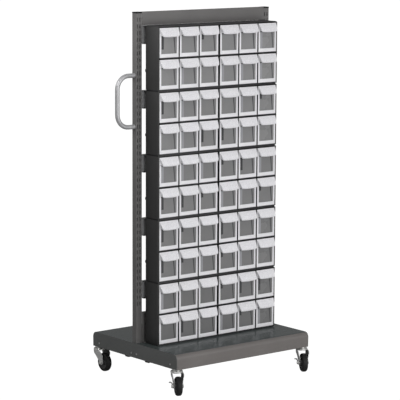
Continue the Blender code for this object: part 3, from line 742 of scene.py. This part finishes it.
def build_panels():
    """Header, kick panel and hanging rails as folded sheet."""
    rails = [f"hanging_rail_{index + 1}" for index in range(CABINETS)]
    for node in ["header_panel", "kick_panel"] + rails:
        low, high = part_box(node)
        size = high - low
        outline = folded_channel(size.z, size.y, PANEL_SHEET, PANEL_BEND)
        if node == "header_panel":
            section = [(low.y + y, low.z + z) for y, z in outline]
        else:
            section = [(high.y - y, low.z + z) for y, z in outline]
        bm = bmesh.new()
        add_prism(bm, section, low.x, high.x)
        finishes = [PAINT]
        if node in rails:
            # The rails' webs take the lighter paint of painted light
            finishes = [RAIL_PAINT_LIT, CAP_AND_FLANGE_SHADE]
            # Painted shade: the up- and down-facing flanges take the caps' near-black
            bm.normal_update()
            for face in bm.faces:
                face.material_index = int(abs(face.normal.z) > SHADED_FLANGE_TILT)
        add_piece(node + "_sheet", bm, finishes, "cart", (node,), smooth=FOLD_ANGLE)


def add_slotted_wall(bm, xs, heights, front, back):
    """Closed plate on a grid of xs and heights; every second cell, counted both ways, is a slot."""
    skins = [[[bm.verts.new((x, y, z)) for x in xs] for z in heights] for y in (front, back)]
    rows = len(heights) - 1
    columns = len(xs) - 1

    def is_open(row, column):
        inside = 0 <= row < rows and 0 <= column < columns
        return not inside or (row % 2 == 1 and column % 2 == 1)

    for row in range(rows):
        for column in range(columns):
            if is_open(row, column):
                continue
            corners = ((row, column), (row, column + 1), (row + 1, column + 1), (row + 1, column))
            for skin in skins:
                bm.faces.new([skin[z][x] for z, x in corners])
            beside = ((row - 1, column), (row, column + 1), (row + 1, column), (row, column - 1))
            for index, neighbour in enumerate(beside):
                if is_open(*neighbour):
                    start, end = corners[index], corners[(index + 1) % 4]
                    rim = [skins[0][start[0]][start[1]], skins[0][end[0]][end[1]]]
                    bm.faces.new(rim + [skins[1][end[0]][end[1]], skins[1][start[0]][start[1]]])


def upright_side(half, sign):
    """Outline of one side of the tube with its two rounded corners, from above."""
    reach = half - UPRIGHT_CORNER
    skins = []
    for radius in (UPRIGHT_CORNER, UPRIGHT_CORNER - UPRIGHT_WALL):
        front = arc((reach, -reach), radius, -90, 0, FOLD_STEPS)
        skins.append(front + arc((reach, reach), radius, 0, 90, FOLD_STEPS))
    return [(sign * x, y) for x, y in skins[0] + skins[1][::-1]]


def build_upright(node):
    """Square tube with two columns of slots in its front and back walls."""
    low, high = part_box(node)
    high.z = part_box(node + "_cap")[1].z - CAP_SKIRT + CAP_OVERLAP
    half = (high.x - low.x) / 2
    middle = (low + high) / 2
    xs = [middle.x + UPRIGHT_CORNER - half]
    for place in SLOT_PLACES:
        xs += [middle.x + place - SLOT_HALF, middle.x + place + SLOT_HALF]
    xs.append(middle.x + half - UPRIGHT_CORNER)
    slot = BASE_HIGH.z + SLOTS_FROM
    heights = [low.z]
    while slot + SLOT_TALL < high.z - SLOTS_END:
        heights += [slot, slot + SLOT_TALL]
        slot += SLOT_PITCH
    heights.append(high.z)
    bm = bmesh.new()
    for face_y, inward in ((low.y, UPRIGHT_WALL), (high.y, -UPRIGHT_WALL)):
        plate = bmesh.new()
        add_slotted_wall(plate, xs, heights, face_y, face_y + inward)
        merge(bm, plate)
    for sign in (-1, 1):
        outline = upright_side(half, sign)
        tube = bmesh.new()
        add_loft(tube, [[(middle.x + x, middle.y + y, z) for x, y in outline] for z in (low.z, high.z)])
        merge(bm, tube)
    add_piece(node + "_slotted", bm, [PAINT], "cart", (node,), smooth=FOLD_ANGLE)


def build_end_cap(upright):
    """Plastic cap on an upright, with a plug inside the tube."""
    node = upright + "_cap"
    low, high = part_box(node)
    bm = bmesh.new()
    add_box(bm, (low.x, low.y, high.z - CAP_SKIRT), high, CAP_ROUND, 3)
    end = (high.x - PLUG_INSET, high.y - PLUG_INSET, high.z - CAP_SKIRT / 2)
    add_box(bm, (low.x + PLUG_INSET, low.y + PLUG_INSET, low.z), end, PLUG_ROUND)
    add_piece(upright + "_end_cap", bm, [CAP_AND_FLANGE_SHADE], "cart", (node,))


def build_uprights():
    for upright in ("left_upright", "right_upright"):
        build_upright(upright)
        build_end_cap(upright)


def tray_outline(inset, bend):
    """Upside-down U of the tray seen from its end, its corners round, moved inwards by an inset."""
    low_y = BASE_LOW.y + inset
    high_y = BASE_HIGH.y - inset
    top = BASE_HIGH.z - inset
    guard = bend + TRAY_GUARD
    outline = [(low_y, BASE_LOW.z), (low_y, top - guard)]
    outline += arc((low_y + bend, top - bend), bend, 180, 90, TRAY_STEPS)
    outline += [(low_y + guard, top), (high_y - guard, top)]
    outline += arc((high_y - bend, top - bend), bend, 90, 0, TRAY_STEPS)
    outline += [(high_y, top - guard), (high_y, BASE_LOW.z)]
    return outline


def build_tray():
    """Tray: a sheet with its front and rear edges bent round, and a flat plate on each end."""
    low, high = BASE_LOW, BASE_HIGH
    finishes = [TRAY_PAINT, DECK_PAINT_SHADED, END_PAINT_SHADED]
    outside = tray_outline(0.0, TRAY_BEND)
    inside = tray_outline(TRAY_SHEET, TRAY_BEND - TRAY_SHEET)
    inset = TRAY_SHEET - TRAY_JOIN
    bm = bmesh.new()
    folded = bmesh.new()
    add_prism(folded, outside + inside[::-1], low.x + inset, high.x - inset)
    merge(bm, folded)
    for start, end, face_x in ((low.x, low.x + TRAY_SHEET, low.x), (high.x - TRAY_SHEET, high.x, high.x)):
        plate = bmesh.new()
        add_prism(plate, outside, start, end)
        rim = [edge for edge in plate.edges if all(abs(v.co.x - face_x) < LEVEL for v in edge.verts)]
        soften(plate, rim, END_ROUND, 3)
        # Painted shade: the end plates take the darker end paint
        merge(bm, plate, finishes.index(END_PAINT_SHADED))
    # Painted shade: the sheet's upward faces take the darker deck paint
    bm.normal_update()
    for face in bm.faces:
        if face.normal.z > DECK_TILT and face.calc_center_median().z > high.z - TRAY_SHEET / 2:
            face.material_index = finishes.index(DECK_PAINT_SHADED)
    add_piece("base_tray_pressing", bm, finishes, "cart", ("base_tray",))


def build_corner_plates():
    """Plates under the tray's corners, which carry the casters."""
    for name, (side_x, side_y) in CORNERS.items():
        x = BASE_HIGH.x if side_x > 0 else BASE_LOW.x
        y = BASE_HIGH.y if side_y > 0 else BASE_LOW.y
        xs = sorted((x - side_x * PLATE_INSET, x - side_x * PLATE_SIZE))
        ys = sorted((y - side_y * PLATE_INSET, y - side_y * PLATE_SIZE))
        bm = bmesh.new()
        start = (xs[0], ys[0], BASE_LOW.z + PLATE_LOW)
        add_box(bm, start, (xs[1], ys[1], BASE_LOW.z + PLATE_HIGH), PLATE_ROUND)
        add_piece(f"corner_plate_{name}", bm, [TRAY_PAINT], "cart")


def build_crossbars():
    """Folded channels under the tray, open upwards."""
    for node in ("base_front_crossbar", "base_rear_crossbar"):
        low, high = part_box(node)
        size = high - low
        outline = folded_channel(size.y, size.z, CROSSBAR_SHEET, CROSSBAR_BEND)
        bm = bmesh.new()
        add_prism(bm, [(low.y + across, low.z + up) for up, across in outline], low.x, high.x)
        add_piece(node + "_section", bm, [TRAY_PAINT], "cart", (node,))


def build_base():
    build_tray()
    build_corner_plates()
    build_crossbars()


def build_cabinets():
    """Black cabinets: shell, shelves, middle divider and spacers behind, with softened edges; the boards,
    divider and spacers take painted shade.
    """
    finishes = [BLACK, SHADE]
    # Painted shade on the boards, the shelf, the divider and the spacers
    inside = finishes.index(SHADE)
    for index in range(CABINETS):
        node = f"cabinet_{index + 1}"
        low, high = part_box(node)
        back = high.y - SPACER_DEPTH
        rear = back - CABINET_SIDE / 2
        inside_low = low.z + CABINET_WALL * CABINET_JOIN
        inside_high = high.z - CABINET_WALL * CABINET_JOIN
        bm = bmesh.new()

        shell = bmesh.new()
        for start_x, end_x in ((low.x, low.x + CABINET_SIDE), (high.x - CABINET_SIDE, high.x)):
            start = (start_x, low.y, low.z + CABINET_SEAM)
            add_box(shell, start, (end_x, back, high.z - CABINET_SEAM), CABINET_EDGE)
        start = (low.x + CABINET_SIDE / 2, back - CABINET_SIDE, inside_low)
        add_box(shell, start, (high.x - CABINET_SIDE / 2, back, inside_high), CABINET_EDGE)
        merge(bm, shell)

        inset = SHELF_JOIN * CABINET_SIDE
        opening = (high.z - low.z - 2 * CABINET_WALL - SHELF) / 2
        shelf_low = low.z + CABINET_WALL + opening
        shelves = bmesh.new()
        levels = ((low.z, CABINET_WALL), (high.z - CABINET_WALL, CABINET_WALL), (shelf_low, SHELF))
        for level, thick in levels:
            start = (low.x + inset, low.y + SHELF_SETBACK, level)
            add_box(shelves, start, (high.x - inset, rear, level + thick), CABINET_EDGE)
        merge(bm, shelves, inside)

        middle = (low.x + high.x) / 2
        fittings = bmesh.new()
        start = (middle - DIVIDER / 2, low.y + DIVIDER_SETBACK, inside_low)
        add_box(fittings, start, (middle + DIVIDER / 2, rear, inside_high), CABINET_EDGE)
        for sign in (-1, 1):
            centre = middle + sign * ((high.x - low.x) / 2 - SPACER_INSET)
            start = (centre - SPACER_HALF, rear, low.z + SPACER_LOW)
            add_box(fittings, start, (centre + SPACER_HALF, high.y, low.z + SPACER_HIGH), SPACER_ROUND)
        merge(bm, fittings, inside)
        add_piece(node + "_shell", bm, finishes, "cart", (node,))


def build_handle():
    """Bent tube on the side of the left upright."""
    low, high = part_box("push_handle")
    tube = (high.y - low.y) / 2
    y = (low.y + high.y) / 2
    top = high.z - tube
    bottom = low.z + tube
    bend_x = low.x + tube + HANDLE_BEND
    path = [(high.x, top)]
    path += arc((bend_x, top - HANDLE_BEND), HANDLE_BEND, 90, 180, HANDLE_STEPS)
    path += arc((bend_x, bottom + HANDLE_BEND), HANDLE_BEND, 180, 270, HANDLE_STEPS)
    path.append((high.x, bottom))
    across = Vector((0, 1, 0))
    loops = []
    for index, (x, z) in enumerate(path):
        before = path[max(index - 1, 0)]
        after = path[min(index + 1, len(path) - 1)]
        along = Vector((after[0] - before[0], 0, after[1] - before[1])).normalized()
        normal = along.cross(across)
        loop = []
        for step in range(HANDLE_SIDES):
            angle = math.tau * step / HANDLE_SIDES
            loop.append(Vector((x, y, z)) + tube * (math.cos(angle) * across + math.sin(angle) * normal))
        loops.append(loop)
    bm = bmesh.new()
    add_loft(bm, loops)
    add_piece("push_handle_tube", bm, [STEEL], "cart", ("push_handle",), smooth=TUBE_ANGLE)


# Casters

def caster_place(name):
    """Frame of a caster on the floor: its swivel axis up, its wheel towards -Y, its axle along X."""
    swivel = Vector(JOINTS[f"caster_{name}_swivel"]["pos_m"])
    axle = Vector(JOINTS[f"caster_{name}_roll"]["axis"])
    up = Vector((0, 0, 1))
    turn = Matrix((axle, up.cross(axle), up)).transposed().to_4x4()
    return Matrix.Translation((swivel.x, swivel.y, 0.0)) @ turn


def build_casters():
    for name in CORNERS:
        place = caster_place(name)
        hub = Vector(JOINTS[f"caster_{name}_roll"]["pos_m"])
        trail = (hub - place.translation).to_2d().length
        wheel_place = place @ Matrix.Translation((0, -trail, hub.z))
        braked = f"caster_{name}_brake" in frame["nodes"]
        build_head(name, place)
        build_fork(name, place, trail, hub.z)
        build_axle(name, wheel_place, braked)
        build_wheel(name, wheel_place)
        if braked:
            build_brake(name, wheel_place)


def build_head(name, place):
    """Turned plate under the tray, with a narrower neck that the fork swivels on."""
    node = f"caster_{name}_head"
    low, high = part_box(node)
    rim = turned(HEAD_OUTLINE, (high.x - low.x) / 2, high.z)
    neck = rim[-1][0]
    bm = bmesh.new()
    add_lathe(bm, [(0, high.z)] + rim + [(neck, low.z), (0, low.z)], HEAD_SIDES, "Z")
    add_piece(f"caster_{name}_swivel_head", bm, [BRIGHT_ZINC], "cart", (node,), place)


def leg_levels(trail, axle_z, crown_low):
    """Height of each section of a leg, from its foot up, and its front and rear ahead of the swivel axis."""
    levels = []
    for along, height in arc((0.0, axle_z), LEG_FOOT, LEG_FOOT_ANGLE, 0, LEG_FOOT_STEPS):
        levels.append((height, trail + along, trail - along))
    for step in range(1, LEG_STEPS + 1):
        part = step / LEG_STEPS
        height = axle_z + (crown_low - axle_z) * part
        ahead = trail + LEG_FOOT - max(0.0, LEG_SHOULDER - (crown_low - height))
        behind = (trail - LEG_FOOT + LEG_ROOT) * (1.0 - part) ** LEG_SWEEP - LEG_ROOT
        levels.append((height, ahead, behind))
    levels.append((crown_low + LEG_JOIN, LEG_ROOT, -LEG_ROOT))
    return levels


def add_leg(bm, side, levels, crown_low):
    """One leg, which spreads to the width of the cup at the top and hugs it at the rear."""
    loops = []
    for height, ahead, behind in levels:
        rise = min(max((height - LEG_SPREAD_FROM) / (crown_low - LEG_SPREAD_FROM), 0.0), 1.0)
        front = LEG_OUT + LEG_SPREAD * rise * rise * (3.0 - 2.0 * rise)
        hug = max(LEG_OUT, math.sqrt(CUP_RADIUS ** 2 - min(abs(behind), LEG_ROOT) ** 2))
        rear = min(front, hug)
        corners = ((front - LEG_SHEET, ahead), (front, ahead), (rear, behind), (rear - LEG_SHEET, behind))
        loops.append([(side * x, -y, height) for x, y in corners])
    leg = bmesh.new()
    add_loft(leg, loops)
    rims = [edge for edge in leg.edges if abs(edge.verts[0].co.z - edge.verts[1].co.z) > LEVEL]
    soften(leg, rims, LEG_ROUND)
    merge(bm, leg)


def build_fork(name, place, trail, axle_z):
    """Pressed fork: a round cup and two legs, each with a boss inside it round the axle; the legs' inward
    faces take painted shade.
    """
    node = f"caster_{name}_fork"
    finishes = [ZINC, BRIGHT_ZINC, ZINC_SHADE]
    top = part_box(node)[1].z
    crown_low = top - CUP_HEIGHT
    cup = bmesh.new()
    shell = turned(CUP_OUTLINE, CUP_RADIUS, top)
    add_lathe(cup, [(0, top)] + shell + [(0, shell[-1][1])], CUP_SIDES, "Z")
    bm = bmesh.new()
    merge(bm, cup, finishes.index(BRIGHT_ZINC))

    levels = leg_levels(trail, axle_z, crown_low)
    for side in (-1, 1):
        add_leg(bm, side, levels, crown_low)
        # Painted shade: the leg's inward faces take the dark zinc
        bm.normal_update()
        for face in bm.faces:
            on_leg = face.material_index == 0 and side * face.calc_center_median().x > 0
            if on_leg and side * face.normal.x < -INWARD_SHADE_TILT:
                face.material_index = finishes.index(ZINC_SHADE)
        boss = bmesh.new()
        profile = [(radius, side * along) for radius, along in in_mm(BOSS_OUTLINE)]
        add_lathe(boss, profile, BOSS_SIDES, "X", (0, -trail, axle_z), closed=True)
        merge(bm, boss)
    add_piece(node + "_pressing", bm, finishes, node, (node,), place, PRESSED_ANGLE)


def build_axle(name, place, braked):
    """Bolt through the fork and the wheel, with a hexagon head on one side and a nut on the other."""
    node = f"caster_{name}_axle"
    near = AXLE_NEAR - (LEVER_ROOM if braked else 0)
    bm = bmesh.new()
    add_lathe(bm, [(0, near), (AXLE_RADIUS, near), (AXLE_RADIUS, AXLE_FAR), (0, AXLE_FAR)], AXLE_SIDES)
    for inner, outer in ((near, near - BOLT_HEAD), (AXLE_FAR, AXLE_FAR + BOLT_NUT)):
        rim = outer + BOLT_CHAMFER * (inner - outer)
        profile = [(0, outer), (BOLT_TOP, outer), (BOLT_CORNER, rim), (BOLT_CORNER, inner), (0, inner)]
        add_lathe(bm, profile, BOLT_SIDES)
    body = f"caster_{name}_fork"
    add_piece(node + "_bolt", bm, [BRIGHT_ZINC], body, (node,), place, BOLT_ANGLE)


def build_wheel(name, place):
    """Tyre with a rounded tread on a hub with a raised rim and boss."""
    node = f"caster_{name}_wheel"
    tread = arc((WHEEL_HALF - TYRE_ROUND, WHEEL_RADIUS - TYRE_ROUND), TYRE_ROUND, 0, 90, TYRE_STEPS)
    tyre = in_mm(TYRE_SEAT) + [(radius, along) for along, radius in tread]
    hub = in_mm(HUB_OUTLINE)
    bm = bmesh.new()
    for index, (half, sides) in enumerate(((tyre, TYRE_SIDES), (hub, HUB_SIDES))):
        ring = bmesh.new()
        add_lathe(ring, half + mirrored(half), sides, closed=True)
        merge(bm, ring, index)
    add_piece(node + "_tyre", bm, [RUBBER, HUB], node, (node,), place)


def build_brake(name, place):
    """Pressed lever: an eye round the axle, an arm that bends outwards and a tab to step on."""
    node = f"caster_{name}_brake"
    inner = AXLE_NEAR
    outer = inner - LEVER_SHEET
    flat = EYE_RADIUS - LEVER_ROUND
    profile = [
        (EYE_BORE, outer), (flat, outer), (EYE_RADIUS, outer + LEVER_ROUND),
        (EYE_RADIUS, inner - LEVER_ROUND), (flat, inner), (EYE_BORE, inner),
    ]
    eye = bmesh.new()
    add_lathe(eye, profile, EYE_SIDES, closed=True)
    bm = bmesh.new()
    merge(bm, eye)

    along = Vector((math.cos(LEVER_ANGLE), math.sin(LEVER_ANGLE)))
    across = Vector((-along.y, along.x))
    loops = []
    for index, (side, far, half) in enumerate(LEVER_PATH):
        before = LEVER_PATH[max(index - 1, 0)]
        after = LEVER_PATH[min(index + 1, len(LEVER_PATH) - 1)]
        run = Vector((after[0] - before[0], after[1] - before[1])).normalized()
        out = Vector((run.y, -run.x)) * (LEVER_SHEET / 2)
        loop = []
        for edge, face in ((-1, -1), (1, -1), (1, 1), (-1, 1)):
            x = -side * MM - face * out.x
            spot = along * (far * MM + face * out.y) + across * (edge * half * MM)
            loop.append((x, spot.x, spot.y))
        loops.append(loop)
    arm = bmesh.new()
    add_loft(arm, loops)
    merge(bm, arm)
    add_piece(node + "_lever", bm, [ZINC], node, (node,), place, PRESSED_ANGLE)


# Small fasteners

def add_screw(bm, at, axis):
    """Pan head screw with a socket, standing out along an axis."""
    screw = bmesh.new()
    add_lathe(screw, in_mm(SCREW_OUTLINE), SCREW_SIDES, "Z")
    turn = Vector((0, 0, 1)).rotation_difference(Vector(axis)).to_matrix().to_4x4()
    screw.transform(Matrix.Translation(at) @ turn)
    merge(bm, screw)


def build_screws():
    z = BASE_LOW.z + SCREW_HEIGHT
    middle = BASE_CENTRE.y
    places = (BASE_LOW.y + SCREW_END, middle - SCREW_PAIR, middle + SCREW_PAIR, BASE_HIGH.y - SCREW_END)
    for name, x, direction in (("left", BASE_LOW.x, -1), ("right", BASE_HIGH.x, 1)):
        bm = bmesh.new()
        for y in places:
            add_screw(bm, (x, y, z), (direction, 0, 0))
        add_piece(f"base_screws_{name}", bm, [SCREW], "cart")


# Studio

def white_to_camera(tree, shaded, socket):
    """A white that only the camera sees, mixed with a shaded surface or sky."""
    paths = tree.nodes.new("ShaderNodeLightPath")
    white = tree.nodes.new("ShaderNodeBackground" if shaded.type == "BACKGROUND" else "ShaderNodeEmission")
    white.inputs["Color"].default_value = WHITE_LIGHT
    white.inputs["Strength"].default_value = BACKDROP_STRENGTH
    blend = tree.nodes.new("ShaderNodeMixShader")
    link(tree, paths, "Is Camera Ray", blend, 0)
    link(tree, shaded, 0, blend, 1)
    link(tree, white, 0, blend, 2)
    tree.links.new(blend.outputs[0], socket)


def build_floor():
    floor = bpy.data.meshes.new("floor")
    bm = bmesh.new()
    bmesh.ops.create_grid(bm, x_segments=2, y_segments=2, size=FLOOR_SIZE)
    bm.to_mesh(floor)
    bm.free()
    pale = bpy.data.materials.new("studio_floor")
    pale.use_nodes = True
    tree = pale.node_tree
    shader = tree.nodes["Principled BSDF"]
    shader.inputs["Base Color"].default_value = FLOOR_COLOUR
    shader.inputs["Roughness"].default_value = FLOOR_ROUGH
    white_to_camera(tree, shader, tree.nodes["Material Output"].inputs["Surface"])
    floor.materials.append(pale)
    ground = bpy.data.objects.new("studio_floor", floor)
    bpy.context.scene.collection.objects.link(ground)


def build_sky():
    world = bpy.data.worlds.new("studio")
    bpy.context.scene.world = world
    world.use_nodes = True
    tree = world.node_tree
    sky = tree.nodes["Background"]
    sky.inputs["Color"].default_value = WHITE_LIGHT
    sky.inputs["Strength"].default_value = SKY_STRENGTH
    white_to_camera(tree, sky, tree.nodes["World Output"].inputs["Surface"])
    bpy.context.scene.view_settings.view_transform = "Standard"


def add_light(name, place, target, size, power, spread):
    lamp = bpy.data.lights.new(name, "AREA")
    lamp.size = size
    lamp.energy = power
    lamp.spread = math.radians(spread)
    item = bpy.data.objects.new(name, lamp)
    bpy.context.scene.collection.objects.link(item)
    item.location = place
    item.rotation_euler = (Vector(target) - Vector(place)).to_track_quat("-Z", "Y").to_euler()


def build_studio():
    build_floor()
    build_sky()
    for light in LIGHTS:
        add_light(*light)


def build_camera():
    lens = bpy.data.cameras.new("camera")
    lens.sensor_width = CAMERA_SENSOR
    lens.lens = CAMERA_LENS
    lens.clip_end = CAMERA_RANGE
    item = bpy.data.objects.new("camera", lens)
    bpy.context.scene.collection.objects.link(item)
    azimuth, elevation = CAMERA_AZIMUTH, CAMERA_ELEVATION
    level = math.cos(elevation)
    back = Vector((math.sin(azimuth) * level, -math.cos(azimuth) * level, math.sin(elevation)))
    flat_right = Vector((math.cos(azimuth), math.sin(azimuth), 0.0))
    flat_up = back.cross(flat_right)
    right = math.cos(CAMERA_ROLL) * flat_right + math.sin(CAMERA_ROLL) * flat_up
    up = -math.sin(CAMERA_ROLL) * flat_right + math.cos(CAMERA_ROLL) * flat_up
    turn = Matrix((right, up, back)).transposed().to_4x4()
    place = Vector((BASE_CENTRE.x, BASE_CENTRE.y, BASE_LOW.z)) + Vector(CAMERA_OFFSET)
    item.matrix_world = Matrix.Translation(place) @ turn
    bpy.context.scene.camera = item


build_camera()
build_studio()
build_bins()
build_panels()
build_uprights()
build_base()
build_cabinets()
build_handle()
build_casters()
build_screws()
